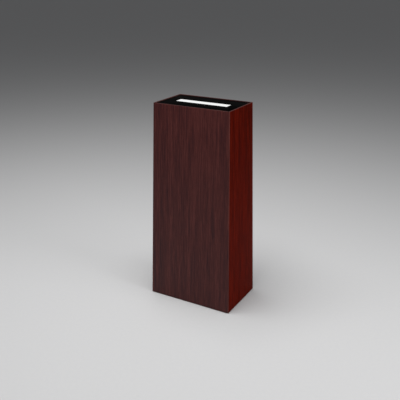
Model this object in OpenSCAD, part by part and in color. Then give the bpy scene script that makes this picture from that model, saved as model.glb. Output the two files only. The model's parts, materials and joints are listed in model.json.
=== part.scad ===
// Display plinth with a lit strip in its lift-out top.
// Origin on the floor under the middle of the plinth, front towards -Y, +Z up, millimetres.

/* [Overall] */
// Height from the floor to the top rim
plinth_h = 1000; // [800:10:1250]
// Width across the top rim
top_w = 400; // [330:5:520]
// Depth across the top rim
top_d = 240; // [195:5:340]
// How much further out each side stands at floor level than at the rim
flare = 24; // [10:1:35]

/* [Walls] */
// Thickness of the veneered walls, measured level
wall_t = 18; // [12:1:22]
// Width of the easing along the four upright corners
corner_ease = 3; // [1:0.5:5]
// Gap between the floor and the lower edge of the walls
floor_gap = 3; // [2:0.5:6]

/* [Top] */
// Width of the rim left standing round the top plate
rim_w = 6; // [4:1:10]
// Depth of the top plate below the rim
top_recess = 2.5; // [1:0.5:5]
// Thickness of the top plate
plate_t = 6; // [4:1:10]
// Clearance all round the top plate
plate_gap = 1; // [0.5:0.5:2]
// Distance from the rim's outer edge to each end of the lit strip
strip_end = 65; // [60:1:100]
// Width of the lit strip
strip_w = 44; // [30:2:70]
// Clearance round the diffuser in its slot
strip_fit = 0.2; // [0.1:0.1:0.5]
// Width of the diffuser's lip under the plate
strip_lip = 8; // [4:1:9]
// Thickness of the diffuser's lip
lip_t = 3; // [2:0.5:4]

/* [Frame] */
// Width of the ledgers under the top plate
ledger_w = 20; // [15:1:24]
// Height of the ledgers
ledger_h = 30; // [20:1:40]
// Leg of the glue blocks in the upright corners
block_leg = 24; // [15:1:30]
// Thickness of the base board
base_t = 18; // [12:1:22]
// Height of the base board's underside above the floor
base_lift = 12; // [11.5:0.5:20]
// Width of the cleats on the base board
cleat_w = 20; // [15:1:24]
// Height of the cleats on the base board
cleat_h = 25; // [20:1:35]

/* [Light] */
// How far the light tray runs past each end of the strip
tray_past = 7; // [5:1:9]
// Width of the light tray
tray_w = 76; // [60:1:90]
// Height of the light tray
tray_h = 48; // [40:1:60]
// Sheet thickness of the light tray
tray_t = 1.5; // [1:0.5:2]
// Width of the rails that carry the tray
rail_w = 14; // [12:1:15]
// Height of the rails that carry the tray
rail_h = 22; // [16:1:28]
// How far the circuit board stops short of each end of the strip
board_in = 10; // [5:1:40]
// Width of the circuit board
board_w = 40; // [30:1:50]
// Number of light chips in each of the two rows
chips_per_row = 14; // [8:1:18]

/* [Power] */
// Height of the middle of the power inlet above the floor
inlet_z = 140; // [120:5:200]
// Distance from the rim down to the middle of the driver
driver_drop = 275; // [260:5:300]
// Length of the driver case
driver_l = 150; // [120:5:160]
// Width of the driver case
driver_w = 42; // [35:1:60]
// Depth of the driver case
driver_d = 30; // [25:1:40]
// Number of clips on the mains lead
clip_count = 4; // [2:1:6]
// Diameter of the mains lead
mains_d = 7; // [6:0.5:8]
// Diameter of the low-voltage lead
dc_d = 5; // [4:0.5:6]
// Angle that the rocker tips from its middle position
rocker_tip = 10; // [6:1:12]

/* [Feet] */
// Diameter of the foot pads
pad_d = 32; // [24:1:40]
// Height of the foot pads
pad_h = 10; // [8:0.5:10]
// Diameter of the foot stems
stem_d = 8; // [6:1:10]
// Distance from the inner wall face to the middle of a foot
foot_inset = 48; // [40:1:60]
// How far a foot can be screwed down
foot_travel = 12; // [6:1:15]
// Radial clearance of a stem in its nut and in its pad
thread_fit = 0.05; // [0.02:0.01:0.1]

/* [Hidden] */
$fn = 48;

// Anything longer than the plinth in every direction
span = 2 * (plinth_h + top_w);
// Overrun that keeps cuts from ending flush with a face
over = 1;
lean = atan(flare / plinth_h);
plate_z = plinth_h - top_recess - plate_t;
pocket_w = top_w - 2 * rim_w;
pocket_d = top_d - 2 * rim_w;
ledger_z = plate_z - ledger_h;
base_top = base_lift + base_t;
strip_l = top_w - 2 * strip_end;
tray_drop = 1;
tray_top = plate_z - lip_t - tray_drop;
tray_z = tray_top - tray_h;
rail_top = tray_top - tray_t;
ledger_x = top_w / 2 - wall_t - ledger_w;
ledger_y = top_d / 2 - wall_t - ledger_w;
tray_l = strip_l + 2 * tray_past;
rail_gap = 1;
rail_x = tray_l / 2 + rail_gap;
tray_screw_y = tray_w / 3;

// Circuit board and what stands on it
board_l = strip_l - 2 * board_in;
board_t = 1.6;
board_z = tray_z + tray_t;
board_top = board_z + board_t;
board_screw_in = 7;
chip_l = 3.5;
chip_w = 2.8;
chip_h = 0.8;
chip_margin = 15;
chip_pitch = (board_l - 2 * chip_margin) / (chips_per_row - 1);
chip_row_y = board_w / 4;
terminal_w = 14;
terminal_d = 8;
terminal_h = 14;
terminal_in = 10;
terminal_y = tray_w / 2 - tray_t - terminal_in;
terminal_screw_r = 1.6;
terminal_screw_h = 2;
grommet_lip = 2;
grommet_rise = 9;
grommet_z = board_top + grommet_rise;
grommet_wall = 3;
grommet_r = dc_d / 2 + grommet_wall;

// Screws: shank radius and head radius
wood_r = 2;
wood_head_r = 4;
machine_r = 1.5;
machine_head_r = 2.9;
cup_h = 2;
hex_r = 1.25;
case_screw_len = 14;
// How deep screws through the frame go into the wall or cleat behind
wall_bite = 10;
cleat_bite = 14;
ledger_screw_x = 0.7 * ledger_x;
ledger_screw_y = 0.5 * ledger_y;

// Foot nuts
nut_wall = 1.5;
nut_flange_r = 11;
nut_flange_t = 1.5;
nut_barrel_h = 12;
pad_neck_r = 9;
pad_disc_h = 6;
pad_edge = 1;
stem_seat = 3;
stem_point = 1;
foot_x = top_w / 2 - wall_t + flare - foot_inset;
foot_y = top_d / 2 - wall_t + flare - foot_inset;
base_screw_x = 0.6 * foot_x;

// Power inlet, in its own frame on the back wall
flange_w = 34;
flange_h = 68;
flange_t = 2.4;
flange_r = 4;
body_w = 27;
body_h = 47;
body_d = wall_t + 4;
body_fit = 0.3;
socket_y = -11.5;
socket_w = 24;
socket_h = 16.5;
socket_cut = 4;
socket_deep = 15.5;
blade_w = 2;
blade_h = 4;
blade_len = 11;
blade_x = 7;
blade_drop = 2;
blade_tail = 14;
boot_d = 16;
boot_wall = 1.5;
boot_r = 2;
inlet_screw_y = 29;
rocker_y = 10.5;
rocker_r = 9.7;
rocker_w = 13.4;
rocker_gap = 0.3;
rocker_pivot_z = -1.5;
rocker_room = 1;
rocker_dip = 2.2;
rocker_horn = 3.8;
rocker_horn_y = 8.9;
rocker_tail = 5.5;
trunnion_r = 1.5;
trunnion_len = 1.2;
trunnion_fit = 0.05;

// Driver, in its own frame on the inner face of the back wall
driver_flange = 12;
driver_flange_t = 2;
cap_l = 16;
cap_inset = 1;
cap_cut = 3;
driver_flange_w = 25;
driver_ribs = 5;
driver_fin = 1.2;
lead_off = 10;
lead_fit = 0.5;
driver_z = plinth_h - driver_drop;
driver_low = driver_z - driver_l / 2 - cap_l - driver_flange;

// Leads: centre lines chosen by hand
mains_route = [[0, 110, 157], [0, 110.5, 174], [0, 112.4, 192], [0, 114.4, 212], [0, 115, 240],
  [0, 113.6, 300], [0, 112.2, 360], [0, 110.7, 420], [0, 109.3, 480], [0, 107.8, 540],
  [0, 106.6, 580], [0, 104.5, 602], [0, 101.9, 620], [0, 101, 636]];
dc_route = [[0, 96.5, 815], [0, 96, 835], [0, 95, 860], [0, 92.5, 885], [0, 86.5, 908], [0, 77, 927],
  [0, 65, 941], [0, 53, 949], [0, 42, 951.5], [0, 30, 951.5]];

// Clips, spread evenly from just above the inlet to just below the driver
clip_above_inlet = 100;
clip_below_driver = 67;
clip_first = inlet_z + clip_above_inlet;
clip_last = driver_low - clip_below_driver;
mains_clips = [for (i = [0 : clip_count - 1]) clip_first + i * (clip_last - clip_first) / (clip_count - 1)];
clip_off = 5.2;
clip_len = 8;
clip_wall = 1.6;
clip_ear = 9;
clip_ear_t = 3;
clip_fit = 0.2;
nail_len = 13;
nail_r = 1;
nail_head_r = 2;

// Tones
veneer_tone = [0.30, 0.12, 0.10];
pine_tone = [0.78, 0.62, 0.42];
board_tone = [0.62, 0.50, 0.36];
zinc_tone = [0.75, 0.75, 0.77];
yellow_tone = [0.75, 0.68, 0.45];
metal_tone = [0.80, 0.80, 0.82];
white_tone = [0.88, 0.88, 0.86];
black_tone = [0.03, 0.03, 0.03];
soft_black_tone = [0.09, 0.09, 0.09];
glow_tone = [1, 1, 0.98];
phosphor_tone = [0.98, 0.85, 0.40];
contact_tone = [0.85, 0.80, 0.62];

// Half sizes of the outer and inner faces at height z
function out_x(z) = top_w / 2 + flare * (1 - z / plinth_h);
function out_y(z) = top_d / 2 + flare * (1 - z / plinth_h);
function in_x(z) = out_x(z) - wall_t;
function in_y(z) = out_y(z) - wall_t;

// Catmull-Rom curve through the points p, with n steps between neighbours
function pick(p, i) = p[max(0, min(len(p) - 1, i))];
function curve(p, n) = [for (i = [0 : len(p) - 2], k = [0 : n - 1]) let (
    t = k / n, a = pick(p, i - 1), b = p[i], c = p[i + 1], d = pick(p, i + 2))
    0.5 * (2 * b + (c - a) * t + (2 * a - 5 * b + 4 * c - d) * t * t
      + (3 * b - a - 3 * c + d) * t * t * t), p[len(p) - 1]];

// Round tube along points that lie in a plane of constant X
module tube(points, r, sides = 10) {
  last = len(points) - 1;
  rings = [for (i = [0 : last]) let (
      along = pick(points, i + 1) - pick(points, i - 1),
      t = along / norm(along), n = cross([1, 0, 0], t))
      for (k = [0 : sides - 1]) points[i] + r * (cos(360 * k / sides) * [1, 0, 0]
        + sin(360 * k / sides) * n)];
  walls = [for (i = [0 : last - 1], k = [0 : sides - 1]) let (q = (k + 1) % sides)
      [i * sides + k, (i + 1) * sides + k, (i + 1) * sides + q, i * sides + q]];
  start = [for (k = [0 : sides - 1]) k];
  end = [for (k = [sides - 1 : -1 : 0]) last * sides + k];
  polyhedron(rings, concat(walls, [start, end]));
}

// Tapered block whose sides follow the walls, inset level by "inset", from z0 to z1
module taper(inset, z0, z1) {
  intersection() {
    rotate([90, 0, 0]) linear_extrude(span, center = true)
      polygon([[-out_x(z0) + inset, z0], [out_x(z0) - inset, z0],
        [out_x(z1) - inset, z1], [-out_x(z1) + inset, z1]]);
    rotate([90, 0, 90]) linear_extrude(span, center = true)
      polygon([[-out_y(z0) + inset, z0], [out_y(z0) - inset, z0],
        [out_y(z1) - inset, z1], [-out_y(z1) + inset, z1]]);
  }
}

// The four upright corners eased at 45 degrees
module eased_outside() {
  reach0 = (out_x(floor_gap) + out_y(floor_gap) - corner_ease) / sqrt(2);
  reach1 = (out_x(plinth_h) + out_y(plinth_h) - corner_ease) / sqrt(2);
  profile = [[-reach0, floor_gap], [reach0, floor_gap], [reach1, plinth_h], [-reach1, plinth_h]];
  intersection() {
    taper(0, floor_gap, plinth_h);
    rotate([0, 0, 45]) rotate([90, 0, 0]) linear_extrude(span, center = true) polygon(profile);
    rotate([0, 0, 45]) rotate([90, 0, 90]) linear_extrude(span, center = true) polygon(profile);
  }
}

// Rebate that the top plate lies in, with upright sides
module top_pocket() {
  translate([0, 0, plate_z]) linear_extrude(span) square([pocket_w, pocket_d], center = true);
}

// Part of the hollow shell between two mitre planes; side 0 is the front, 1 right, 2 back, 3 left
module wall(side) {
  ridge = (top_w - top_d) / 2;
  // Plan of the front and right sectors, cut at 45 degrees through the corners
  front_plan = [[-ridge, 0], [ridge, 0], [ridge + span, -span], [-ridge - span, -span]];
  right_plan = [[ridge, 0], [ridge + span, -span], [ridge + span, span]];
  intersection() {
    difference() {
      eased_outside();
      taper(wall_t, floor_gap - over, plinth_h + over);
      top_pocket();
      ledger_screw_set();
    }
    rotate([0, 0, side > 1 ? 180 : 0]) translate([0, 0, -over])
      linear_extrude(plinth_h + 2 * over) polygon(side % 2 == 0 ? front_plan : right_plan);
  }
}

// Frame on the back wall's outer face: X to the left seen from the front, Y up the wall, Z outwards
module on_back(z) {
  translate([0, out_y(z), z]) rotate([lean, 0, 0]) rotate([90, 0, 180]) children();
}

// Frame on the back wall's inner face: Y up the wall, Z into the plinth
module inside_back(z) {
  translate([0, in_y(z), z]) rotate([lean, 0, 0]) rotate([90, 0, 0]) children();
}

// Rectangle with round corners
module round_rect(w, h, r) {
  square([w - 2 * r, h], center = true);
  square([w, h - 2 * r], center = true);
  for (x = [-1, 1], y = [-1, 1]) translate([x * (w / 2 - r), y * (h / 2 - r)]) circle(r);
}

// Countersunk screw pointing down, its head's top face at z = 0
module sunk_screw(length, r, head_r) {
  translate([0, 0, -length]) cylinder(h = length, r = r);
  translate([0, 0, r - head_r]) cylinder(h = head_r - r, r1 = r, r2 = head_r);
}

// Cap screw pointing down, with its head standing on z = 0
module cap_screw(length) {
  translate([0, 0, -length]) cylinder(h = length, r = machine_r);
  difference() {
    cylinder(h = cup_h, r = machine_head_r);
    translate([0, 0, cup_h / 2]) cylinder(h = cup_h, r = hex_r, $fn = 6);
  }
}

// ---- walls ----
module front_panel() {
  color(veneer_tone) wall(0);
}
module right_panel() {
  color(veneer_tone) wall(1);
}
module left_panel() {
  color(veneer_tone) wall(3);
}
module back_panel() {
  color(veneer_tone) difference() {
    wall(2);
    on_back(inlet_z) {
      translate([0, 0, -2 * wall_t]) linear_extrude(3 * wall_t)
        square([body_w + 2 * body_fit, body_h + 2 * body_fit], center = true);
      inlet_screw_set();
    }
    inside_back(driver_z) driver_screw_set();
    clip_nails();
  }
}

// ---- frame ----
// Leaning glue block in the corner on side sx, sy
module corner_block(sx, sy) {
  z0 = base_top;
  z1 = ledger_z;
  color(pine_tone) mirrored(sx, sy) intersection() {
    rotate([90, 0, 0]) linear_extrude(span, center = true)
      polygon([[in_x(z0) - block_leg, z0], [in_x(z0), z0], [in_x(z1), z1], [in_x(z1) - block_leg, z1]]);
    rotate([90, 0, 90]) linear_extrude(span, center = true)
      polygon([[in_y(z0) - block_leg, z0], [in_y(z0), z0], [in_y(z1), z1], [in_y(z1) - block_leg, z1]]);
  }
}

// What stands at +X +Y, mirrored to the chosen sides
module mirrored(sx, sy) {
  mirror([sx < 0 ? 1 : 0, 0, 0]) mirror([0, sy < 0 ? 1 : 0, 0]) children();
}

module foot_places() {
  for (x = [-1, 1], y = [-1, 1]) translate([x * foot_x, y * foot_y, 0]) children();
}

module base_screw_set() {
  cleat_z = base_top + cleat_h;
  for (x = [-base_screw_x, 0, base_screw_x], y = [-1, 1])
    translate([x, y * (in_y(cleat_z) - cleat_w / 2), base_lift])
      mirror([0, 0, 1]) sunk_screw(base_t + cleat_bite, wood_r, wood_head_r);
  for (x = [-1, 1])
    translate([x * (in_x(cleat_z) - cleat_w / 2), 0, base_lift])
      mirror([0, 0, 1]) sunk_screw(base_t + cleat_bite, wood_r, wood_head_r);
}

module base_board() {
  color(board_tone) difference() {
    taper(wall_t, base_lift, base_top);
    foot_places() translate([0, 0, base_lift - over])
      cylinder(h = base_t + 2 * over, r = stem_d / 2 + thread_fit + nut_wall);
    base_screw_set();
  }
}

// Long cleats run between the corner blocks, short ones between the long ones
module base_cleat(side) {
  z1 = base_top + cleat_h;
  inner_x = in_x(z1) - cleat_w;
  inner_y = in_y(z1) - cleat_w;
  end_x = in_x(z1) - block_leg;
  end_y = in_y(z1) - block_leg;
  color(pine_tone) difference() {
    intersection() {
      taper(wall_t, base_top, z1);
      rotate([0, 0, side > 1 ? 180 : 0]) translate([0, 0, -over]) linear_extrude(plinth_h)
        if (side % 2 == 0) translate([-end_x, -span]) square([2 * end_x, span - inner_y]);
        else translate([inner_x, -end_y]) square([span, 2 * end_y]);
    }
    base_screw_set();
  }
}

module ledger_screw_set() {
  reach = ledger_w + wall_bite;
  mid = ledger_z + ledger_h / 2;
  for (x = [-ledger_screw_x, 0, ledger_screw_x], y = [-1, 1])
    translate([x, y * ledger_y, mid]) rotate([y * 90, 0, 0])
      sunk_screw(reach, wood_r, wood_head_r);
  for (y = [-ledger_screw_y, ledger_screw_y], x = [-1, 1])
    translate([x * ledger_x, y, mid]) rotate([0, -x * 90, 0])
      sunk_screw(reach, wood_r, wood_head_r);
}

// The long ledgers run the whole width, the short ones fit between them
module ledger(side) {
  color(pine_tone) difference() {
    intersection() {
      taper(wall_t, ledger_z, plate_z);
      rotate([0, 0, side > 1 ? 180 : 0]) linear_extrude(plinth_h)
        if (side % 2 == 0) translate([-span / 2, -span]) square([span, span - ledger_y]);
        else translate([ledger_x, -ledger_y]) square([span, 2 * ledger_y]);
    }
    ledger_screw_set();
  }
}

// ---- top ----
module top_plate() {
  color(black_tone) difference() {
    translate([0, 0, plate_z]) linear_extrude(plate_t)
      square([pocket_w - 2 * plate_gap, pocket_d - 2 * plate_gap], center = true);
    translate([0, 0, plate_z - over]) linear_extrude(plate_t + 2 * over)
      square([strip_l, strip_w], center = true);
  }
}

module diffuser() {
  color(glow_tone) {
    translate([0, 0, plate_z]) linear_extrude(plate_t)
      square([strip_l - 2 * strip_fit, strip_w - 2 * strip_fit], center = true);
    translate([0, 0, plate_z - lip_t]) linear_extrude(lip_t)
      square([strip_l + 2 * strip_lip, strip_w + 2 * strip_lip], center = true);
  }
}

// ---- light ----
module tray_screw_set() {
  for (x = [-1, 1], y = [-1, 1])
    translate([x * (rail_x + rail_w / 2), y * tray_screw_y, tray_top]) cap_screw(case_screw_len);
}

module tray_rail(sx) {
  color(pine_tone) difference() {
    translate([sx * (rail_x + rail_w / 2), 0, rail_top - rail_h]) linear_extrude(rail_h)
      square([rail_w, 2 * ledger_y], center = true);
    tray_screw_set();
  }
}

module board_screw_set() {
  for (x = [-1, 1])
    translate([x * (board_l / 2 - board_screw_in), 0, board_top]) cap_screw(board_t + tray_t);
}

module light_tray() {
  color(white_tone) difference() {
    union() {
      translate([0, 0, tray_z]) linear_extrude(tray_h) square([tray_l, tray_w], center = true);
      translate([0, 0, rail_top]) linear_extrude(tray_t)
        square([2 * (rail_x + rail_w), tray_w], center = true);
    }
    translate([0, 0, board_z]) linear_extrude(tray_h)
      square([tray_l - 2 * tray_t, tray_w - 2 * tray_t], center = true);
    translate([0, tray_w / 2, grommet_z]) rotate([90, 0, 0])
      cylinder(h = 4 * tray_t, r = grommet_r, center = true);
    tray_screw_set();
    board_screw_set();
  }
}

// Grooved rubber ring in the tray's back wall
module tray_grommet() {
  color(soft_black_tone) translate([0, tray_w / 2 - tray_t / 2, grommet_z]) rotate([90, 0, 0])
    difference() {
      union() {
        cylinder(h = tray_t, r = grommet_r, center = true);
        for (z = [-1, 1]) translate([0, 0, z * tray_t])
          cylinder(h = tray_t, r = grommet_r + grommet_lip, center = true);
      }
      cylinder(h = 4 * tray_t, r = dc_d / 2, center = true);
    }
}

module led_board() {
  color(white_tone) difference() {
    translate([0, 0, board_z]) linear_extrude(board_t) square([board_l, board_w], center = true);
    board_screw_set();
  }
}

module led_chips() {
  color(phosphor_tone)
    for (i = [0 : chips_per_row - 1], y = [-1, 1])
      translate([(i - (chips_per_row - 1) / 2) * chip_pitch, y * chip_row_y, board_top])
        linear_extrude(chip_h) square([chip_l, chip_w], center = true);
}

module board_terminal() {
  color(white_tone) difference() {
    translate([0, terminal_y, board_z]) linear_extrude(terminal_h)
      square([terminal_w, terminal_d], center = true);
    for (x = [-1, 1]) translate([x * terminal_w / 4, terminal_y, board_z + terminal_h - terminal_screw_h])
      cylinder(h = terminal_screw_h + over, r = terminal_screw_r);
  }
}

module tray_screws() {
  color(zinc_tone) tray_screw_set();
}
module board_screws() {
  color(zinc_tone) board_screw_set();
}
module base_screws() {
  color(yellow_tone) base_screw_set();
}
module ledger_screws() {
  color(yellow_tone) ledger_screw_set();
}

// ---- driver ----
module driver_screw_set() {
  for (y = [-1, 1]) translate([0, y * (driver_l / 2 + cap_l + driver_flange / 2), driver_flange_t])
    cap_screw(case_screw_len);
}

module driver_case() {
  rib_pitch = driver_w / driver_ribs;
  color(metal_tone) inside_back(driver_z) difference() {
    union() {
      linear_extrude(driver_flange_t)
        square([driver_flange_w, driver_l + 2 * (cap_l + driver_flange)], center = true);
      translate([0, 0, driver_flange_t]) linear_extrude(driver_d - driver_flange_t - driver_fin)
        square([driver_w, driver_l], center = true);
      for (i = [0 : driver_ribs - 1])
        translate([(i - (driver_ribs - 1) / 2) * rib_pitch, 0, driver_d - driver_fin])
          linear_extrude(driver_fin) square([rib_pitch / 2, driver_l], center = true);
    }
    driver_screw_set();
  }
}

// End cap with the lead's hole; end is -1 for the lower and 1 for the upper
module driver_cap(end, lead_d) {
  color(soft_black_tone) inside_back(driver_z)
    translate([0, end * (driver_l / 2 + cap_l / 2), 0]) difference() {
      translate([0, 0, driver_flange_t]) linear_extrude(driver_d - driver_flange_t) cap_outline(end);
      translate([0, 0, lead_off]) rotate([90, 0, 0])
        cylinder(h = 2 * cap_l, r = lead_d / 2 + lead_fit, center = true);
    }
}

// Plan of an end cap, with its outer corners cut
module cap_outline(end) {
  w = driver_w / 2 - cap_inset;
  h = cap_l / 2;
  polygon([[-w, -end * h], [w, -end * h], [w, end * (h - cap_cut)], [w - cap_cut, end * h],
    [cap_cut - w, end * h], [-w, end * (h - cap_cut)]]);
}

module driver_screws() {
  color(zinc_tone) inside_back(driver_z) driver_screw_set();
}

// ---- power inlet ----
module inlet_screw_set() {
  for (y = [-1, 1]) translate([0, y * inlet_screw_y, flange_t])
    sunk_screw(case_screw_len, machine_r, machine_head_r);
}

// Opening of the socket, with two corners cut so that a plug goes in one way
module socket_outline() {
  w = socket_w / 2;
  h = socket_h / 2;
  polygon([[-w, -h], [w, -h], [w, h - socket_cut], [w - socket_cut, h], [socket_cut - w, h],
    [-w, h - socket_cut]]);
}

module blade_places() {
  translate([-blade_x, socket_y - blade_drop, 0]) children();
  translate([blade_x, socket_y - blade_drop, 0]) children();
  translate([0, socket_y + blade_drop, 0]) children();
}

module blades() {
  blade_places() translate([0, 0, flange_t - socket_deep - blade_tail])
    linear_extrude(blade_len + blade_tail) square([blade_w, blade_h], center = true);
}

module inlet_housing() {
  well_z = rocker_pivot_z - rocker_r - rocker_room;
  color(black_tone) on_back(inlet_z) difference() {
    union() {
      linear_extrude(flange_t) round_rect(flange_w, flange_h, flange_r);
      translate([0, 0, -body_d]) linear_extrude(body_d) square([body_w, body_h], center = true);
    }
    translate([0, socket_y, flange_t - socket_deep]) linear_extrude(socket_deep + over) socket_outline();
    translate([0, rocker_y, well_z]) linear_extrude(flange_t - well_z + over)
      square([rocker_w + 2 * rocker_gap, 2 * (rocker_r + rocker_gap)], center = true);
    translate([0, rocker_y, rocker_pivot_z]) rotate([0, 90, 0])
      cylinder(h = rocker_w + 2 * (trunnion_len + rocker_gap), r = trunnion_r + trunnion_fit, center = true);
    blades();
    inlet_screw_set();
  }
}

module inlet_pins() {
  color(contact_tone) on_back(inlet_z) blades();
}

// Insulating boot over the terminals behind the inlet, open towards the inlet
module inlet_boot() {
  color(soft_black_tone) on_back(inlet_z) translate([0, 0, -body_d - boot_d]) difference() {
    linear_extrude(boot_d) round_rect(body_w, body_h, boot_r);
    translate([0, 0, boot_wall]) linear_extrude(boot_d)
      round_rect(body_w - 2 * boot_wall, body_h - 2 * boot_wall, boot_r / 2);
    translate([0, body_h / 2, boot_d / 2]) rotate([90, 0, 0])
      cylinder(h = 4 * boot_wall, r = mains_d / 2 + lead_fit, center = true);
  }
}

module inlet_screws() {
  color(zinc_tone) on_back(inlet_z) inlet_screw_set();
}

// Rocker tipped to "on": a slice of a cylinder round its pivot with a dipped upper face
module rocker() {
  color(black_tone) on_back(inlet_z) translate([0, rocker_y, rocker_pivot_z])
    rotate([rocker_tip, 0, 0]) {
      intersection() {
        rotate([0, 90, 0]) cylinder(h = rocker_w, r = rocker_r, center = true, $fn = 64);
        rotate([90, 0, 90]) linear_extrude(rocker_w, center = true)
          polygon([[-rocker_r, -rocker_tail], [rocker_r, -rocker_tail], [rocker_r, rocker_horn],
            [rocker_horn_y, rocker_horn], [0, rocker_dip], [-rocker_horn_y, rocker_horn],
            [-rocker_r, rocker_horn]]);
      }
      rotate([0, 90, 0]) cylinder(h = rocker_w + 2 * trunnion_len, r = trunnion_r, center = true);
    }
}

// ---- leads ----
module mains_lead() {
  color(soft_black_tone) tube(curve(mains_route, 4), mains_d / 2);
}

module dc_lead() {
  color(soft_black_tone) tube(curve(dc_route, 4), dc_d / 2);
}

module clip_nails() {
  for (z = mains_clips) inside_back(z) translate([clip_ear, 0, clip_ear_t])
    sunk_screw(nail_len, nail_r, nail_head_r);
}

// Saddle clips over the mains lead, each with its nail
module lead_clips() {
  ring = mains_d / 2 + clip_fit;
  color(white_tone) difference() {
    for (z = mains_clips) inside_back(z) difference() {
      union() {
        translate([0, 0, clip_off]) rotate([90, 0, 0])
          cylinder(h = clip_len, r = ring + clip_wall, center = true);
        linear_extrude(clip_ear_t) translate([clip_ear / 2, 0])
          square([clip_ear + 2 * ring, clip_len], center = true);
        linear_extrude(clip_off) square([2 * (ring + clip_wall), clip_len], center = true);
      }
      translate([0, 0, clip_off]) rotate([90, 0, 0]) cylinder(h = 2 * clip_len, r = ring, center = true);
      translate([0, 0, -2 * clip_off]) linear_extrude(2 * clip_off) square(4 * clip_ear, center = true);
    }
    clip_nails();
  }
  color(white_tone) clip_nails();
}

// ---- feet ----
module tee_nuts() {
  bore_r = stem_d / 2 + thread_fit;
  color(zinc_tone) foot_places() difference() {
    union() {
      translate([0, 0, base_lift - nut_flange_t]) cylinder(h = nut_flange_t, r = nut_flange_r);
      translate([0, 0, base_lift]) cylinder(h = nut_barrel_h, r = bore_r + nut_wall);
    }
    translate([0, 0, base_lift - nut_flange_t - over])
      cylinder(h = nut_barrel_h + nut_flange_t + 2 * over, r = bore_r);
  }
}

// Swivel pad with a rounded lower edge and a socket for the stem
module foot_pad(sx, sy) {
  color(soft_black_tone) translate([sx * foot_x, sy * foot_y, 0]) difference() {
    rotate_extrude() polygon([[0, 0], [pad_d / 2 - pad_edge, 0], [pad_d / 2, pad_edge],
      [pad_d / 2, pad_disc_h - pad_edge], [pad_d / 2 - pad_edge, pad_disc_h], [pad_neck_r, pad_disc_h],
      [pad_neck_r, pad_h], [0, pad_h]]);
    translate([0, 0, stem_seat]) cylinder(h = pad_h, r = stem_d / 2 + thread_fit);
  }
}

module foot_stem(sx, sy) {
  color(zinc_tone) translate([sx * foot_x, sy * foot_y, 0]) {
    top = base_top + foot_travel;
    translate([0, 0, stem_seat]) cylinder(h = top - stem_seat - stem_point, r = stem_d / 2);
    translate([0, 0, top - stem_point])
      cylinder(h = stem_point, r1 = stem_d / 2, r2 = stem_d / 2 - stem_point);
  }
}

front_panel();
back_panel();
left_panel();
right_panel();
corner_block(-1, -1);  // corner_block_fl
corner_block(1, -1);  // corner_block_fr
corner_block(-1, 1);  // corner_block_bl
corner_block(1, 1);  // corner_block_br
base_board();
base_cleat(0);  // base_cleat_front
base_cleat(1);  // base_cleat_right
base_cleat(2);  // base_cleat_back
base_cleat(3);  // base_cleat_left
base_screws();
ledger(0);  // ledger_front
ledger(1);  // ledger_right
ledger(2);  // ledger_back
ledger(3);  // ledger_left
ledger_screws();
top_plate();
diffuser();
tray_rail(-1);  // tray_rail_left
tray_rail(1);  // tray_rail_right
light_tray();
tray_screws();
tray_grommet();
led_board();
led_chips();
board_screws();
board_terminal();
driver_case();
driver_cap(-1, mains_d);  // driver_cap_lower
driver_cap(1, dc_d);  // driver_cap_upper
driver_screws();
inlet_housing();
inlet_pins();
inlet_boot();
inlet_screws();
rocker();
mains_lead();
dc_lead();
lead_clips();
tee_nuts();
foot_pad(-1, -1);  // foot_pad_fl
foot_pad(1, -1);  // foot_pad_fr
foot_pad(-1, 1);  // foot_pad_bl
foot_pad(1, 1);  // foot_pad_br
foot_stem(-1, -1);  // foot_stem_fl
foot_stem(1, -1);  // foot_stem_fr
foot_stem(-1, 1);  // foot_stem_bl
foot_stem(1, 1);  // foot_stem_br
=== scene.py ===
"""Display plinth: a flared, veneered carcass with a lit strip in its lift-out black top.

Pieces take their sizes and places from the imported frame. What only the eye sees, such as threads, marks
and eased edges, is named here. Lengths are metres, +Z is up and the front faces -Y.
"""

import json
import math

import bmesh
import bpy
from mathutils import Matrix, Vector


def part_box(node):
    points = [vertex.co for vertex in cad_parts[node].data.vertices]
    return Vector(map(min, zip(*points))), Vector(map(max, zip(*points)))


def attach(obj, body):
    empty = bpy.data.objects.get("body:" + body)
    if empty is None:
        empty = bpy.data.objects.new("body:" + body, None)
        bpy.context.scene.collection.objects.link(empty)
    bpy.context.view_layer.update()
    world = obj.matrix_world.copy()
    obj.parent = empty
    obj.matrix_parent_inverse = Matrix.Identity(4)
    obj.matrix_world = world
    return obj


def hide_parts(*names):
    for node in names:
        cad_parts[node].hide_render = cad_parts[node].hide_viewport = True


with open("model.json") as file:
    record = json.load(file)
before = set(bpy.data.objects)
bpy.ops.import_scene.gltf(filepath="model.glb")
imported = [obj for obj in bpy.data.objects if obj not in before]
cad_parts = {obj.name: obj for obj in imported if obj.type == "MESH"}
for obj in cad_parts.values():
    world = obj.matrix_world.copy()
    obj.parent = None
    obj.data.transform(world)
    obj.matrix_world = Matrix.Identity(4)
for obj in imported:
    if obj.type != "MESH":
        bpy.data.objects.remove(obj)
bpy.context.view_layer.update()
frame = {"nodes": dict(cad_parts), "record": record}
NODES = frame["nodes"]
MM = 0.001
BODY_OF = {n: b for b, names in frame["record"]["behaviour"]["bodies"].items() for n in names}


# ---- shader building ----
def put(tree, kind, values=None, **settings):
    """Adds a node. values maps an input's name or number to a socket to link or a value to set."""
    node = tree.nodes.new(kind)
    for key, value in settings.items():
        setattr(node, key, value)
    for key, value in (values or {}).items():
        if isinstance(value, bpy.types.NodeSocket):
            tree.links.new(value, node.inputs[key])
        else:
            node.inputs[key].default_value = value
    return node


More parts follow.
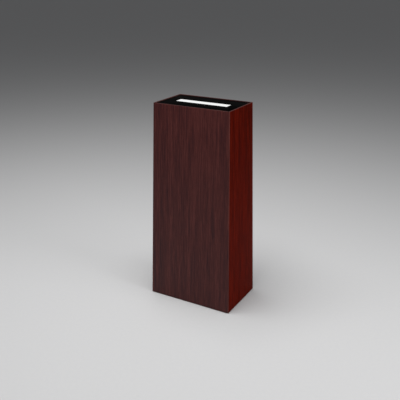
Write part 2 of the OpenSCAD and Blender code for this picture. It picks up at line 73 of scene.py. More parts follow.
def principled(name, **values):
    """A material with a Principled shader, its node tree, and the shader."""
    made = bpy.data.materials.new(name)
    made.use_nodes = True
    tree = made.node_tree
    tree.nodes.clear()
    shader = put(tree, "ShaderNodeBsdfPrincipled", {k.replace("_", " "): v for k, v in values.items()})
    out = put(tree, "ShaderNodeOutputMaterial")
    tree.links.new(shader.outputs["BSDF"], out.inputs["Surface"])
    return made, tree, shader


def place(tree, scale):
    """The piece's own coordinates, stretched by scale along X, Y and Z."""
    coords = put(tree, "ShaderNodeTexCoord").outputs["Object"]
    return put(tree, "ShaderNodeMapping", {"Vector": coords, "Scale": scale}).outputs["Vector"]


def noise(tree, where, scale=1.0, detail=3.0, rough=0.55, distort=0.0):
    """Cloudy noise from 0 to 1."""
    values = {"Vector": where, "Scale": scale, "Detail": detail, "Roughness": rough, "Distortion": distort}
    return put(tree, "ShaderNodeTexNoise", values).outputs["Fac"]


def spread(tree, value, low, high, to_low=0.0, to_high=1.0):
    """Maps low..high to to_low..to_high, and holds it there outside that."""
    values = {"Value": value, 1: low, 2: high, 3: to_low, 4: to_high}
    return put(tree, "ShaderNodeMapRange", values, clamp=True).outputs[0]


def maths(tree, operation, a, b=0.0):
    """Result of one operation on two values."""
    return put(tree, "ShaderNodeMath", {0: a, 1: b}, operation=operation).outputs[0]


def blend(tree, factor, a, b):
    """Colour a where factor is 0 and b where it is 1."""
    node = put(tree, "ShaderNodeMix", data_type="RGBA", blend_type="MIX")
    for key, value in ((0, factor), (6, a), (7, b)):
        if isinstance(value, bpy.types.NodeSocket):
            tree.links.new(value, node.inputs[key])
        else:
            node.inputs[key].default_value = value
    return node.outputs[2]


def feed(tree, shader, name, value):
    """Links a value to one of the shader's inputs."""
    tree.links.new(value, shader.inputs[name])


def bump(tree, shader, height, distance, strength):
    """Raises the surface by height, at most by distance."""
    normal = put(tree, "ShaderNodeBump", {"Height": height, "Distance": distance, "Strength": strength})
    feed(tree, shader, "Normal", normal.outputs["Normal"])


def rgb(r, g, b):
    """A colour with full opacity."""
    return (r, g, b, 1.0)


# ---- sizes read from the frame ----
def level_reach(node, axis, z):
    """Least and greatest distance from the middle plane, along axis, of a node's corners at height z."""
    found = [abs(v.co[axis]) for v in NODES[node].data.vertices if abs(v.co.z - z) < 0.1 * MM]
    return min(found), max(found)


FOOT_Z, TOP_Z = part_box("front_panel")[0].z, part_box("front_panel")[1].z
PLATE_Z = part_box("top_plate")[0].z
RIM_X, OUT_X_TOP = level_reach("right_panel", 0, TOP_Z)
RIM_Y, OUT_Y_TOP = level_reach("front_panel", 1, TOP_Z)
IN_X_FOOT, OUT_X_FOOT = level_reach("right_panel", 0, FOOT_Z)
LEAN = (OUT_X_FOOT - OUT_X_TOP) / (TOP_Z - FOOT_Z)
WALL = OUT_X_FOOT - IN_X_FOOT
BACK_OUT = Vector((0, 1, LEAN)).normalized()
RIDGE = OUT_X_TOP - OUT_Y_TOP
STEM_PITCH = 1.25 * MM
CORNER_R = 3.0 * MM
EDGE_R = 0.8 * MM
CORNER_STEPS = 6
WELD = 0.01 * MM
SHARP_ANGLE = math.radians(30)
ROUNDING_STEPS = 2
ROUNDING_SHAPE = 0.6


def out_x(z):
    return OUT_X_TOP + LEAN * (TOP_Z - z)


def out_y(z):
    return OUT_Y_TOP + LEAN * (TOP_Z - z)


# ---- mesh building ----
def finish_piece(mesh, name, nodes, materials, smooth_angle=35):
    """Makes a piece from a mesh, rides it on its nodes' body and stands it for them."""
    mesh.validate()
    for m in materials:
        mesh.materials.append(m)
    piece = bpy.data.objects.new(name, mesh)
    bpy.context.scene.collection.objects.link(piece)
    mesh.shade_smooth()
    mesh.set_sharp_from_angle(angle=math.radians(smooth_angle))
    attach(piece, BODY_OF[nodes[0]])
    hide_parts(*nodes)
    return piece


def rounded(node, material, width, extra=None):
    """A copy of a node's shape with its sharp edges rounded off.

    extra is a function that adds parts in a second material to the rounded shape, and that material."""
    shape = bmesh.new()
    shape.from_mesh(NODES[node].data)
    bmesh.ops.remove_doubles(shape, verts=shape.verts, dist=WELD)
    bmesh.ops.dissolve_limit(shape, angle_limit=math.radians(1.0), verts=shape.verts, edges=shape.edges)
    sharp = [e for e in shape.edges if len(e.link_faces) == 2 and e.calc_face_angle(0) > SHARP_ANGLE]
    bmesh.ops.bevel(shape, geom=sharp, offset=width, segments=ROUNDING_STEPS, profile=ROUNDING_SHAPE,
                    affect="EDGES", clamp_overlap=True, harden_normals=False)
    bmesh.ops.remove_doubles(shape, verts=shape.verts, dist=0.002 * MM)
    for f in shape.faces:
        f.material_index = 0
    materials = [material]
    if extra:
        add_parts, second = extra
        add_parts(shape)
        materials.append(second)
    name = node + "_body"
    return finish_piece(mesh_from(shape, name), name, [node], materials)


def add_prism(shape, outlines, depth, material=0):
    """Joins a flat outline, and the outline of a hole in it if there is one, to its copy moved by depth."""
    loops = [[[shape.verts.new(Vector(p) + shift) for p in line] for shift in (Vector(), depth)]
             for line in outlines]
    made = []
    for lower, upper in loops:
        for k in range(len(lower)):
            q = (k + 1) % len(lower)
            made.append(shape.faces.new((lower[k], lower[q], upper[q], upper[k])))
    for end in (0, 1):
        if len(loops) == 1:
            made.append(shape.faces.new(loops[0][end]))
            continue
        outer, hole = loops[0][end], loops[1][end]
        for k in range(len(outer)):
            q = (k + 1) % len(outer)
            made.append(shape.faces.new((outer[k], outer[q], hole[q], hole[k])))
    for face in made:
        face.material_index = material
    bmesh.ops.recalc_face_normals(shape, faces=made)


def mesh_from(shape, name):
    mesh = bpy.data.meshes.new(name)
    shape.to_mesh(mesh)
    shape.free()
    return mesh


# ---- materials ----
VENEER_DARK = (0.044, 0.0034, 0.0016)
VENEER_MID = (0.082, 0.0056, 0.0020)
VENEER_LIGHT = (0.124, 0.0092, 0.0032)
PORE = (0.020, 0.0028, 0.0018)


def veneer(name, stretch, gloss, tone=(1.0, 1.0, 1.0), contrast=1.0):
    """Satin red-brown veneer. stretch is how fast its grain changes along X, Y and Z, in cycles a metre."""
    made, tree, shader = principled(name, Specular_IOR_Level=gloss)
    band = noise(tree, place(tree, [s * 0.16 for s in stretch]), detail=2, rough=0.5, distort=0.3)
    streak = noise(tree, place(tree, stretch), detail=4, rough=0.6, distort=0.15)
    fine = noise(tree, place(tree, [s * 3.7 for s in stretch]), detail=3, rough=0.6)
    pore = noise(tree, place(tree, [stretch[0] * 12, stretch[1] * 12, stretch[2] * 9]), detail=2, rough=0.5)
    mixed = maths(tree, "ADD", maths(tree, "MULTIPLY", streak, 0.42), maths(tree, "MULTIPLY", fine, 0.38))
    mixed = maths(tree, "ADD", mixed, maths(tree, "MULTIPLY", band, 0.20))
    half = 0.1 / contrast
    ramp = put(tree, "ShaderNodeValToRGB", {"Fac": spread(tree, mixed, 0.5 - half, 0.5 + half)})
    stops = ((0.0, VENEER_DARK), (0.5, VENEER_MID), (1.0, VENEER_LIGHT))
    ramp.color_ramp.elements.new(0.5)
    for element, (at, colour) in zip(ramp.color_ramp.elements, stops):
        element.position = at
        element.color = rgb(*[c * t for c, t in zip(colour, tone)])
    hollow = spread(tree, pore, 0.30, 0.42, 1.0, 0.0)
    dark = blend(tree, maths(tree, "MULTIPLY", hollow, 0.5), ramp.outputs["Color"], rgb(*PORE))
    feed(tree, shader, "Base Color", dark)
    satin = spread(tree, streak, 0.3, 0.7, 0.38, 0.48)
    rough = maths(tree, "ADD", satin, maths(tree, "MULTIPLY", hollow, 0.15))
    feed(tree, shader, "Roughness", rough)
    height = maths(tree, "SUBTRACT", maths(tree, "MULTIPLY", fine, 0.5), hollow)
    bump(tree, shader, height, 0.05 * MM, 0.5)
    return made


def plain_wood(name, along, light, dark):
    """Planed, unfinished softwood with growth lines along one axis."""
    made, tree, shader = principled(name, Specular_IOR_Level=0.3, Roughness=0.6)
    stretch = [6.0 if k == along else 95.0 for k in range(3)]
    rings = noise(tree, place(tree, stretch), detail=1.5, rough=0.4, distort=0.8)
    lines = maths(tree, "FRACT", maths(tree, "MULTIPLY", rings, 7.0))
    line = spread(tree, lines, 0.55, 0.98)
    fibre = noise(tree, place(tree, [s * 8 for s in stretch]), detail=3)
    tone = blend(tree, line, rgb(*light), rgb(*dark))
    tone = blend(tree, spread(tree, fibre, 0.35, 0.65, 0.0, 0.35), tone, rgb(*[c * 0.72 for c in light]))
    feed(tree, shader, "Base Color", tone)
    feed(tree, shader, "Roughness", spread(tree, fibre, 0.3, 0.7, 0.52, 0.72))
    bump(tree, shader, maths(tree, "ADD", fibre, maths(tree, "MULTIPLY", line, 0.6)), 0.12 * MM, 0.6)
    return made


def board(name, light, dark):
    """Sawn fibreboard: short flecks with no direction."""
    made, tree, shader = principled(name, Specular_IOR_Level=0.2, Roughness=0.8)
    fleck = noise(tree, place(tree, [700, 700, 700]), detail=4, rough=0.7)
    cloud = noise(tree, place(tree, [22, 22, 22]), detail=3)
    tone = blend(tree, spread(tree, fleck, 0.35, 0.65), rgb(*dark), rgb(*light))
    tone = blend(tree, spread(tree, cloud, 0.4, 0.7, 0.0, 0.3), tone, rgb(*[c * 0.75 for c in dark]))
    feed(tree, shader, "Base Color", tone)
    feed(tree, shader, "Roughness", spread(tree, fleck, 0.3, 0.7, 0.7, 0.9))
    bump(tree, shader, fleck, 0.15 * MM, 0.5)
    return made


def moulded(name, colour, rough, grain=1500.0, depth=0.03, level=0.4, lighter=1.5):
    """Moulded plastic or rubber: fine texture, uneven gloss and a little dust in the colour."""
    made, tree, shader = principled(name, Specular_IOR_Level=level)
    speck = noise(tree, place(tree, [grain] * 3), detail=2)
    cloud = noise(tree, place(tree, [45, 45, 45]), detail=4, rough=0.6)
    dusty = rgb(*[c * lighter for c in colour])
    tone = blend(tree, spread(tree, cloud, 0.45, 0.75, 0.0, 0.6), rgb(*colour), dusty)
    feed(tree, shader, "Base Color", tone)
    feed(tree, shader, "Roughness", spread(tree, cloud, 0.3, 0.7, rough - 0.06, rough + 0.08))
    bump(tree, shader, speck, depth * MM, 0.5)
    return made


def metal(name, colour, rough, stretch, depth=0.01):
    """Metal with a fine lay along its finish and faint stains."""
    made, tree, shader = principled(name, Metallic=1.0)
    lay = noise(tree, place(tree, stretch), detail=3, rough=0.6)
    cloud = noise(tree, place(tree, [60, 60, 60]), detail=4)
    stained = rgb(*[c * 0.72 for c in colour])
    tone = blend(tree, spread(tree, cloud, 0.4, 0.7, 0.0, 0.5), rgb(*colour), stained)
    feed(tree, shader, "Base Color", tone)
    feed(tree, shader, "Roughness", spread(tree, lay, 0.3, 0.7, rough - 0.07, rough + 0.1))
    bump(tree, shader, lay, depth * MM, 0.4)
    return made


def powder_coat(name, colour):
    """Baked powder paint with a fine orange-peel texture."""
    made, tree, shader = principled(name, Specular_IOR_Level=0.45)
    peel = noise(tree, place(tree, [900, 900, 900]), detail=2)
    cloud = noise(tree, place(tree, [30, 30, 30]), detail=3)
    duller = rgb(*[c * 0.93 for c in colour])
    tone = blend(tree, spread(tree, cloud, 0.4, 0.7, 0.0, 0.4), rgb(*colour), duller)
    feed(tree, shader, "Base Color", tone)
    feed(tree, shader, "Roughness", spread(tree, cloud, 0.3, 0.7, 0.42, 0.52))
    bump(tree, shader, peel, 0.04 * MM, 0.6)
    return made


def black_acrylic(name):
    """Black sheet with a fine, soft haze of wiping marks."""
    made, tree, shader = principled(name, Specular_IOR_Level=0.004)
    wipe = noise(tree, place(tree, [30, 260, 30]), detail=4, rough=0.6, distort=1.5)
    cloud = noise(tree, place(tree, [9, 9, 9]), detail=3)
    black, haze = rgb(0.0005, 0.0004, 0.0004), rgb(0.0010, 0.0008, 0.0008)
    tone = blend(tree, spread(tree, cloud, 0.4, 0.7, 0.0, 1.0), black, haze)
    feed(tree, shader, "Base Color", tone)
    feed(tree, shader, "Roughness", spread(tree, wipe, 0.3, 0.7, 0.28, 0.40))
    bump(tree, shader, wipe, 0.01 * MM, 0.2)
    return made


def opal_light(name, strength):
    """Lit opal acrylic, its glow a little uneven."""
    base = rgb(0.06, 0.06, 0.06)
    made, tree, shader = principled(name, Roughness=0.25, Specular_IOR_Level=0.2, Base_Color=base)
    cloud = noise(tree, place(tree, [18, 18, 18]), detail=2)
    feed(tree, shader, "Emission Color", blend(tree, cloud, rgb(1.0, 0.99, 0.965), rgb(0.975, 0.99, 1.0)))
    glow = spread(tree, cloud, 0.3, 0.7, strength * 0.95, strength * 1.05)
    feed(tree, shader, "Emission Strength", glow)
    fine = noise(tree, place(tree, [300] * 3))
    feed(tree, shader, "Roughness", spread(tree, fine, 0.3, 0.7, 0.2, 0.3))
    return made


def chip_light(name):
    """Yellow phosphor over a lit chip."""
    made, tree, shader = principled(name, Roughness=0.35, Base_Color=rgb(0.85, 0.62, 0.12))
    speck = noise(tree, place(tree, [2500] * 3), detail=2)
    feed(tree, shader, "Emission Color", blend(tree, speck, rgb(1.0, 0.93, 0.78), rgb(1.0, 0.97, 0.88)))
    feed(tree, shader, "Emission Strength", spread(tree, speck, 0.3, 0.7, 1.2, 1.8))
    return made


# The wide leaves are glossier than the narrow ones, and their browner, greyer tone is a painted sheen over
# the same red; the rim is a paler brown
VENEER_WIDE_PAINTED_SHEEN = veneer("veneer_wide_painted_sheen", (140, 140, 3.0), 0.15, (1.0, 3.4, 8.8), 1.1)
VENEER_SIDE = veneer("veneer_side", (140, 140, 3.0), 0.004, (1.04, 0.9, 0.9), 1.3)
# The rounded corners take a lighter, greyer brown veneer: a painted highlight along the arrises
ARRIS_PAINTED_HIGHLIGHT = veneer("veneer_arris_painted_highlight", (140, 140, 3.0), 0.16, (1.25, 4.2, 9.0))
EDGE_X = veneer("veneer_edge_x", (3.0, 220, 220), 0.05, (0.8, 4.4, 11.0))
EDGE_Y = veneer("veneer_edge_y", (220, 3.0, 220), 0.05, (0.8, 4.4, 11.0))
CORE = board("board_core", (0.34, 0.23, 0.13), (0.22, 0.14, 0.075))
PINE_LIGHT, PINE_DARK = (0.62, 0.42, 0.22), (0.42, 0.23, 0.095)
PINE = [plain_wood("softwood_" + "xyz"[k], k, PINE_LIGHT, PINE_DARK) for k in range(3)]
ACRYLIC = black_acrylic("black_acrylic")
OPAL = opal_light("opal_lit", 0.86)
CHIPS = chip_light("chip_lit")
WHITE_COAT = powder_coat("white_coat", (0.80, 0.80, 0.78))
BOARD_WHITE = powder_coat("board_white", (0.84, 0.84, 0.82))
WHITE_PLASTIC = moulded("white_plastic", (0.72, 0.72, 0.69), 0.45, lighter=1.08)
BLACK_PLASTIC = moulded("black_plastic", (0.016, 0.016, 0.017), 0.5)
ROCKER_BLACK = moulded("rocker_black", (0.010, 0.010, 0.011), 0.28, depth=0.01)
RUBBER = moulded("black_rubber", (0.018, 0.018, 0.018), 0.7, grain=900, depth=0.06)
SHEATH = moulded("lead_sheath", (0.014, 0.014, 0.015), 0.55, grain=600)
ZINC = metal("zinc_plate", (0.62, 0.62, 0.65), 0.32, (400, 400, 400))
YELLOW = metal("yellow_passivate", (0.62, 0.47, 0.20), 0.34, (400, 400, 400))
TINNED = metal("tinned_track", (0.72, 0.70, 0.66), 0.3, (300, 300, 300))
PAINT = moulded("white_paint", (0.75, 0.75, 0.73), 0.5, depth=0.005, lighter=1.05)
NICKEL = metal("nickel_contact", (0.70, 0.66, 0.55), 0.25, (1200, 60, 60))
ALUMINIUM = metal("drawn_aluminium", (0.58, 0.58, 0.60), 0.36, (900, 900, 8))


# ---- carcass ----
def to_row(side, u, w, z):
    """Row-frame place of u along a panel and w outwards. Sides: 0 front, 1 right, 2 back, 3 left."""
    return ((u, -w, z), (w, u, z), (-u, w, z), (-w, -u, z))[side]


def panel(side, node, edge_material, hole=None):
    """A leaning wall between two mitres, with rounded corners, eased edges and a rebate for the top.

    hole is (half width, lowest z, highest z) of an opening through it."""
    ridge = RIDGE if side % 2 == 0 else -RIDGE
    outside = out_y if side % 2 == 0 else out_x
    pocket = RIM_Y if side % 2 == 0 else RIM_X
    mids = [-hole[0], hole[0]] if hole else []
    eases = [(0.0, 1.0), (0.12, 0.55), (0.5, 0.13), (1.0, 0.0)]
    # Each level is a height, how far the outer face is eased in there, and the inner face's distance
    levels = [(FOOT_Z + a * EDGE_R, b * EDGE_R, outside(FOOT_Z) - WALL + b * EDGE_R) for a, b in eases]
    if hole:
        levels += [(z, 0.0, outside(z) - WALL) for z in hole[1:]]
    rebate = len(levels)
    levels += [(PLATE_Z, 0.0, outside(PLATE_Z) - WALL), (PLATE_Z, 0.0, pocket)]
    levels += [(TOP_Z - a * EDGE_R, b * EDGE_R, pocket + b * EDGE_R) for a, b in reversed(eases)]
    shape = bmesh.new()
    rings = []
    arc = CORNER_STEPS
    inner = len(mids) + 1
    for level, (z, inset, w0) in enumerate(levels):
        w1 = outside(z) - inset
        half0, half1 = w0 + ridge, w1 + ridge
        r = CORNER_R - inset * 0.5
        plan = [(u, w0) for u in [-half0, *mids, half0]]
        turn = [math.radians(45 + 45 * k / arc) for k in range(arc + 1)]
        corner = [(half1 - r + r * math.cos(t), w1 - r + r * math.sin(t)) for t in turn]
        plan += corner + [(u, w1) for u in reversed(mids)] + [(-u, w) for u, w in reversed(corner)]
        ring = [shape.verts.new(to_row(side, u, w, z)) for u, w in plan[:inner + 1]]
        if level == rebate + 1:
            # The rebate's floor lies between two rings that share their outer points
            ring += rings[-1][inner + 1:]
        else:
            ring += [shape.verts.new(to_row(side, u, w, z)) for u, w in plan[inner + 1:]]
        rings.append(ring)
    count = len(rings[0])
    first_outer = inner + 1 + arc
    hole_in, hole_out = (1, first_outer + 1) if hole else (-1, -1)
    for low, (a, b) in enumerate(zip(rings, rings[1:])):
        in_hole = hole is not None and low == len(eases)
        for k in range(count):
            q = (k + 1) % count
            corners = list(dict.fromkeys((a[k], a[q], b[q], b[k])))
            if len(corners) < 3 or (in_hole and k in (hole_in, hole_out)):
                continue
            face = shape.faces.new(corners)
            mitre = k == inner or k == count - 1
            rounding = inner < k <= inner + arc or count - 1 - arc <= k < count - 1
            sealed = (low >= len(rings) - len(eases) and not mitre) or (low >= rebate and k < inner)
            # Faces on the rounded corners take the arris veneer, whose lighter brown is a painted highlight
            face.material_index = 1 if sealed else (2 if mitre or k < inner else (3 if rounding else 0))
    if hole:
        a, b = rings[len(eases)], rings[len(eases) + 1]
        near = (hole_in, hole_in + 1)
        far = (hole_out + 1, hole_out)
        for i, o in zip(near, far):
            shape.faces.new((a[i], a[o], b[o], b[i])).material_index = 2
        for ring in (a, b):
            shape.faces.new((ring[near[0]], ring[near[1]], ring[far[1]], ring[far[0]])).material_index = 2
    shape.faces.new(rings[0]).material_index = 2
    shape.faces.new(rings[-1]).material_index = 1
    bmesh.ops.recalc_face_normals(shape, faces=shape.faces)
    # The wide walls take the veneer with the painted sheen in its colour, the narrow walls the deep red one
    leaf = VENEER_WIDE_PAINTED_SHEEN if side % 2 == 0 else VENEER_SIDE
    name = node + "_veneered"
    return finish_piece(mesh_from(shape, name), name, [node], [leaf, edge_material, CORE, ARRIS_PAINTED_HIGHLIGHT], 30)


def carcass():
    body_low, body_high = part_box("inlet_boot")
    play = 0.8 * MM
    hole = (body_high.x + play, body_low.z - play, body_high.z + play)
    panel(0, "front_panel", EDGE_X)
    panel(1, "right_panel", EDGE_Y)
    panel(2, "back_panel", EDGE_X, hole)
    panel(3, "left_panel", EDGE_Y)
    for corner in ("fl", "fr", "bl", "br"):
        rounded("corner_block_" + corner, PINE[2], 1.0 * MM)
    for place_name, along in (("front", 0), ("back", 0), ("left", 1), ("right", 1)):
        rounded("ledger_" + place_name, PINE[along], 0.8 * MM)
        rounded("base_cleat_" + place_name, PINE[along], 0.8 * MM)
    for hand in ("left", "right"):
        rounded("tray_rail_" + hand, PINE[1], 0.8 * MM)
    rounded("base_board", CORE, 0.6 * MM)


# ---- threads and screws ----
SIDES = 32
ROOT_SHARE, FLANK_SHARE = 0.08, 0.34
CROSS_REACH, CROSS_DEPTH = 0.62, 0.42
HEX_REACH, HEX_DEPTH = 0.43, 0.5
SCREW_THREAD, STEM_THREAD = 0.22, 0.16
HEAD_EASE = 0.12 * MM


def thread_cut(turn):
    """How deep the thread is cut at a share of a turn, from 0 on the crest to 1 at the root."""
    flank = min(1.0, max(0.0, (abs(turn % 1.0 - 0.5) - ROOT_SHARE) / FLANK_SHARE))
    return 1.0 - flank


def across(direction):
    """Two directions square to the given one."""
    side = Vector((1, 0, 0)) if abs(direction.x) < 0.9 else Vector((0, 1, 0))
    u = direction.cross(side).normalized()
    return u, direction.cross(u)


def add_rings(shape, start, along, rings):
    """Closed skin through rings, each a distance along and a radius or SIDES radii. Radius 0 is a point."""
    u, v = across(along)
    made = []
    for t, r in rings:
        if r == 0:
            made.append([shape.verts.new(start + along * t)])
            continue
        radii = r if isinstance(r, list) else [r] * SIDES
        turns = [2 * math.pi * k / SIDES for k in range(SIDES)]
        made.append([shape.verts.new(start + along * t + q * (math.cos(a) * u + math.sin(a) * v))
                     for a, q in zip(turns, radii)])
    for a, b in zip(made, made[1:]):
        for k in range(SIDES):
            q = (k + 1) % SIDES
            corners = dict.fromkeys((a[k % len(a)], a[q % len(a)], b[q % len(b)], b[k % len(b)]))
            if len(corners) > 2:
                shape.faces.new(list(corners))


def threaded(radius, depth, pitch, begin, end, steps=6):
    """Rings of a thread between two distances, fading out at its start."""
    count = max(2, int((end - begin) / pitch * steps))
    rings = []
    for i in range(count + 1):
        t = begin + (end - begin) * i / count
        fade = min(1.0, (t - begin) / pitch)
        rings.append((t, [radius - depth * fade * thread_cut(t / pitch - k / SIDES) for k in range(SIDES)]))
    return rings


def cross_outline(reach):
    """Radii of a cross recess whose arms reach that far."""
    half = reach * math.sin(2 * math.pi / SIDES)
    radii = []
    for k in range(SIDES):
        off = math.radians(abs((k * 360 / SIDES + 45) % 90 - 45))
        radii.append(min(reach / math.cos(off), half / max(1e-6, math.sin(off))))
    return radii


def hex_outline(corner):
    """Radii of a hexagon socket."""
    flat = corner * math.cos(math.radians(30))
    return [flat / math.cos(math.radians((k * 360 / SIDES + 30) % 60 - 30)) for k in range(SIDES)]


def islands(node):
    """The separate solids of a node, each as a list of its points."""
    shape = bmesh.new()
    shape.from_mesh(NODES[node].data)
    bmesh.ops.remove_doubles(shape, verts=shape.verts, dist=WELD)
    left = set(shape.verts)
    groups = []
    while left:
        first = next(v for v in shape.verts if v in left)
        group, queue = [], [first]
        left.remove(first)
        while queue:
            v = queue.pop()
            group.append(v.co.copy())
            for e in v.link_edges:
                w = e.other_vert(v)
                if w in left:
                    left.remove(w)
                    queue.append(w)
        groups.append(group)
    shape.free()
    return groups


def screws(node, material, pitch, into=None):
    """Screws with cross recesses, or cap screws with hexagon sockets, where a node's plain ones are.

    into points from head to tip. Left out, each screw points outwards along its longest side."""
    shape = bmesh.new()
    for points in islands(node):
        low = Vector([min(p[k] for p in points) for k in range(3)])
        high = Vector([max(p[k] for p in points) for k in range(3)])
        centre = sum(points, Vector()) / len(points)
        along = into
        if along is None:
            axis = max(range(3), key=lambda k: high[k] - low[k])
            along = Vector([math.copysign(1, centre[k]) if k == axis else 0 for k in range(3)])
        reach = [(p - centre).dot(along) for p in points]
        radii = [((p - centre) - along * t).length for p, t in zip(points, reach)]
        top, tip = min(reach), max(reach)
        head_r = max(radii)
        shank_r = max(r for r, t in zip(radii, reach) if t > tip - 0.01 * MM)
        head_h = max(t for r, t in zip(radii, reach) if r > 0.95 * head_r) - top
        start = centre + along * top
        length = tip - top
        if head_h < 0.1 * MM:
            head_h = head_r - shank_r
            outline, deep = cross_outline(CROSS_REACH * head_r), CROSS_DEPTH * head_r
            under = [(head_h, shank_r)]
        else:
            outline, deep = hex_outline(HEX_REACH * head_r), HEX_DEPTH * head_h
            under = [(head_h - HEAD_EASE, head_r), (head_h, head_r - HEAD_EASE), (head_h, shank_r)]
        point = min(0.35 * (length - head_h), 2 * shank_r)
        rings = [(deep, 0), (0.85 * deep, [0.6 * r for r in outline]), (0, outline), (0, 0.93 * head_r),
                 (0.1 * MM, head_r), *under]
        rings += threaded(shank_r, SCREW_THREAD * shank_r, pitch, head_h + 0.2 * MM, length - point)
        rings += [(length - 0.3 * point, 0.55 * shank_r), (length, 0)]
        add_rings(shape, start, along, rings)
    bmesh.ops.recalc_face_normals(shape, faces=shape.faces)
    name = node + "_threaded"
    finish_piece(mesh_from(shape, name), name, [node], [material], 40)


WOOD_PITCH, CASE_PITCH, BOARD_PITCH = 2.2 * MM, 1.0 * MM, 0.7 * MM


def fasteners():
    down, up = Vector((0, 0, -1)), Vector((0, 0, 1))
    screws("base_screws", YELLOW, WOOD_PITCH, up)
    screws("ledger_screws", YELLOW, WOOD_PITCH)
    screws("tray_screws", ZINC, CASE_PITCH, down)
    screws("board_screws", ZINC, BOARD_PITCH, down)
    screws("driver_screws", ZINC, CASE_PITCH, BACK_OUT)
    screws("inlet_screws", ZINC, CASE_PITCH, -BACK_OUT)


# ---- feet ----
def stem(corner):
    """A threaded rod with a chamfered top."""
    node = "foot_stem_" + corner
    low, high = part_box(node)
    start = Vector(((low.x + high.x) / 2, (low.y + high.y) / 2, low.z))
    radius, length = (high.x - low.x) / 2, high.z - low.z
    shape = bmesh.new()
    rings = [(0, 0), (0, 0.9 * radius)]
    rings += threaded(radius, STEM_THREAD * radius, STEM_PITCH, 0.1 * MM, length - 1.0 * MM, 8)
    rings += [(length, 0.72 * radius), (length, 0)]
    add_rings(shape, start, Vector((0, 0, 1)), rings)
    bmesh.ops.recalc_face_normals(shape, faces=shape.faces)
    name = node + "_threaded"
    finish_piece(mesh_from(shape, name), name, [node], [ZINC], 60)


def feet():
    for corner in ("fl", "fr", "bl", "br"):
        rounded("foot_pad_" + corner, RUBBER, 0.4 * MM)
        stem(corner)
    rounded("tee_nuts", ZINC, 0.25 * MM)


# ---- top and light ----
def board_tracks(shape):
    """Tinned tracks beside the two rows of chips, joined at both ends of the board."""
    low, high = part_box("led_board")
    chips_low, chips_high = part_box("led_chips")
    rise = Vector((0, 0, 0.07 * MM))
    sunk = high.z - 0.05 * MM
    in_x = chips_low.x - low.x
    strips = []
    for y in (chips_low.y, chips_high.y):
        side = math.copysign(1, y)
        strips += [(-chips_high.x, y + side * 1.5 * MM, chips_high.x, y + side * 3.0 * MM),
                   (-chips_high.x, y - side * 5.8 * MM, chips_high.x, y - side * 4.3 * MM)]
    strips += [(x - 1.5 * MM, low.y + in_x / 2, x + 1.5 * MM, high.y - in_x / 2)
               for x in (low.x + in_x * 0.8, high.x - in_x * 0.8)]
    for x0, y0, x1, y1 in strips:
        y0, y1 = sorted((y0, y1))
        add_prism(shape, [[(x0, y0, sunk), (x1, y0, sunk), (x1, y1, sunk), (x0, y1, sunk)]], rise, 1)


def top_and_light():
    rounded("top_plate", ACRYLIC, 0.4 * MM)
    rounded("diffuser", OPAL, 0.3 * MM)
    rounded("light_tray", WHITE_COAT, 0.25 * MM)
    rounded("led_board", BOARD_WHITE, 0.15 * MM, extra=(board_tracks, TINNED))
    rounded("led_chips", CHIPS, 0.12 * MM)
    rounded("tray_grommet", RUBBER, 0.3 * MM)
    rounded("board_terminal", WHITE_PLASTIC, 0.3 * MM)


# ---- power ----
def catmull_rom(points, steps):
    """A smooth curve through points, with steps places between neighbours."""
    made = []
    for i in range(len(points) - 1):
        a, b = Vector(points[max(i - 1, 0)]), Vector(points[i])
        c, d = Vector(points[i + 1]), Vector(points[min(i + 2, len(points) - 1)])
        for k in range(steps):
            t = k / steps
            made.append(0.5 * (2 * b + (c - a) * t + (2 * a - 5 * b + 4 * c - d) * t ** 2
                               + (3 * b - a - 3 * c + d) * t ** 3))
    return made + [Vector(points[-1])]


def lead(node, route, radius, sides=20):
    """A round sheath along a route that lies in a plane of constant X."""
    line = catmull_rom([[c * MM for c in p] for p in route], 8)
    shape = bmesh.new()
    rings = []
    for i, p in enumerate(line):
        along = (line[min(i + 1, len(line) - 1)] - line[max(i - 1, 0)]).normalized()
        up = Vector((1, 0, 0)).cross(along)
        rings.append([shape.verts.new(p + radius * (math.cos(2 * math.pi * k / sides) * Vector((1, 0, 0))
                                                    + math.sin(2 * math.pi * k / sides) * up))
                      for k in range(sides)])
    for a, b in zip(rings, rings[1:]):
        for k in range(sides):
            q = (k + 1) % sides
            shape.faces.new((a[k], a[q], b[q], b[k]))
    shape.faces.new(list(reversed(rings[0])))
    shape.faces.new(rings[-1])
    bmesh.ops.recalc_face_normals(shape, faces=shape.faces)
    name = node + "_sheath"
    finish_piece(mesh_from(shape, name), name, [node], [SHEATH], 50)


# Centre lines of the leads in millimetres, given point by point
MAINS_ROUTE = [(0, 110, 157), (0, 110.5, 174), (0, 112.4, 192), (0, 114.4, 212), (0, 115, 240),
               (0, 113.6, 300), (0, 112.2, 360), (0, 110.7, 420), (0, 109.3, 480), (0, 107.8, 540),
               (0, 106.6, 580), (0, 104.5, 602), (0, 101.9, 620), (0, 101, 636)]
DC_ROUTE = [(0, 96.5, 815), (0, 96, 835), (0, 95, 860), (0, 92.5, 885), (0, 86.5, 908), (0, 77, 927),
            (0, 65, 941), (0, 53, 949), (0, 42, 951.5), (0, 30, 951.5)]


def rocker_marks(shape):
    """A bar on the half that switches on and a ring on the half that switches off."""
    shape.normal_update()
    facing_out = [f for f in shape.faces if f.normal.dot(BACK_OUT) > 0.85]
    halves = sorted(facing_out, key=lambda f: -f.calc_area())[:2]
    spots = sorted(((f.calc_center_median(), f.normal.copy()) for f in halves), key=lambda s: s[0].z)
    turns = [2 * math.pi * k / 24 for k in range(24)]
    rings = [[(r * math.cos(t), r * math.sin(t)) for t in turns] for r in (1.9, 1.4)]
    bar = [[(-0.35, -1.8), (0.35, -1.8), (0.35, 1.8), (-0.35, 1.8)]]
    right = Vector((1, 0, 0))
    for (centre, out), lines in zip(spots, (bar, rings)):
        up = out.cross(right)
        lines = [[centre + (x * right + y * up - 0.1 * out) * MM for x, y in line] for line in lines]
        add_prism(shape, lines, 0.13 * MM * out, 1)


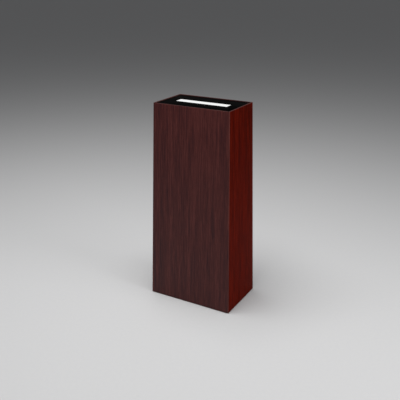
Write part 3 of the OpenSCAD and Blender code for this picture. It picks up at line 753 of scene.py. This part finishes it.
def power():
    for node, material, width in (
            ("inlet_housing", BLACK_PLASTIC, 0.35), ("inlet_boot", RUBBER, 0.4),
            ("inlet_pins", NICKEL, 0.35), ("driver_case", ALUMINIUM, 0.3),
            ("driver_cap_lower", BLACK_PLASTIC, 0.5),
            ("driver_cap_upper", BLACK_PLASTIC, 0.5), ("lead_clips", WHITE_PLASTIC, 0.25)):
        rounded(node, material, width * MM)
    rounded("rocker", ROCKER_BLACK, 0.4 * MM, extra=(rocker_marks, PAINT))
    for node, route in (("mains_lead", MAINS_ROUTE), ("dc_lead", DC_ROUTE)):
        low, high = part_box(node)
        lead(node, route, (high.x - low.x) / 2)


# ---- studio ----
FLOOR_HALF = 60.0
CAMERA_AT = (1.357, -2.417, 1.581)
CAMERA_DOWN, CAMERA_TURN = 21.13, 29.62
LENS_MM, SENSOR_MM = 53.75, 36
WORLD_STRENGTH = 0.14


def camera():
    """The photograph's viewpoint."""
    data = bpy.data.cameras.new("camera")
    data.lens = LENS_MM
    data.sensor_width = SENSOR_MM
    made = bpy.data.objects.new("camera", data)
    made.location = CAMERA_AT
    made.rotation_euler = (math.radians(90 - CAMERA_DOWN), 0, math.radians(CAMERA_TURN))
    bpy.context.scene.collection.objects.link(made)
    bpy.context.scene.camera = made


def softbox(name, place_at, aim, size, power_w):
    """A rectangular lamp that faces its aim."""
    data = bpy.data.lights.new(name, "AREA")
    data.shape = "RECTANGLE"
    data.size, data.size_y = size
    data.energy = power_w
    made = bpy.data.objects.new(name, data)
    made.location = place_at
    made.rotation_euler = (Vector(aim) - Vector(place_at)).to_track_quat("-Z", "Y").to_euler()
    bpy.context.scene.collection.objects.link(made)


def studio():
    scene = bpy.context.scene
    scene.view_settings.view_transform = "Standard"
    world = bpy.data.worlds.new("soft_world")
    world.use_nodes = True
    background = world.node_tree.nodes["Background"]
    background.inputs["Color"].default_value = rgb(0.97, 0.98, 1.0)
    background.inputs["Strength"].default_value = WORLD_STRENGTH
    scene.world = world
    floor = bmesh.new()
    bmesh.ops.create_grid(floor, x_segments=8, y_segments=8, size=FLOOR_HALF)
    ground = bpy.data.objects.new("floor", mesh_from(floor, "floor"))
    scene.collection.objects.link(ground)
    made, tree, shader = principled("pale_floor", Roughness=0.85, Specular_IOR_Level=0.1)
    speck = noise(tree, place(tree, [60, 60, 60]), detail=4)
    grey, light_grey = rgb(0.60, 0.60, 0.605), rgb(0.63, 0.63, 0.63)
    feed(tree, shader, "Base Color", blend(tree, speck, grey, light_grey))
    ground.data.materials.append(made)
    softbox("overhead", (-0.3, -0.6, 4.0), (-0.1, -0.2, 0), (2.4, 2.4), 150)
    softbox("side", (3.2, -0.2, 1.2), (0, 0, 0.5), (1.6, 1.8), 40)


carcass()
feet()
top_and_light()
power()
fasteners()
camera()
studio()
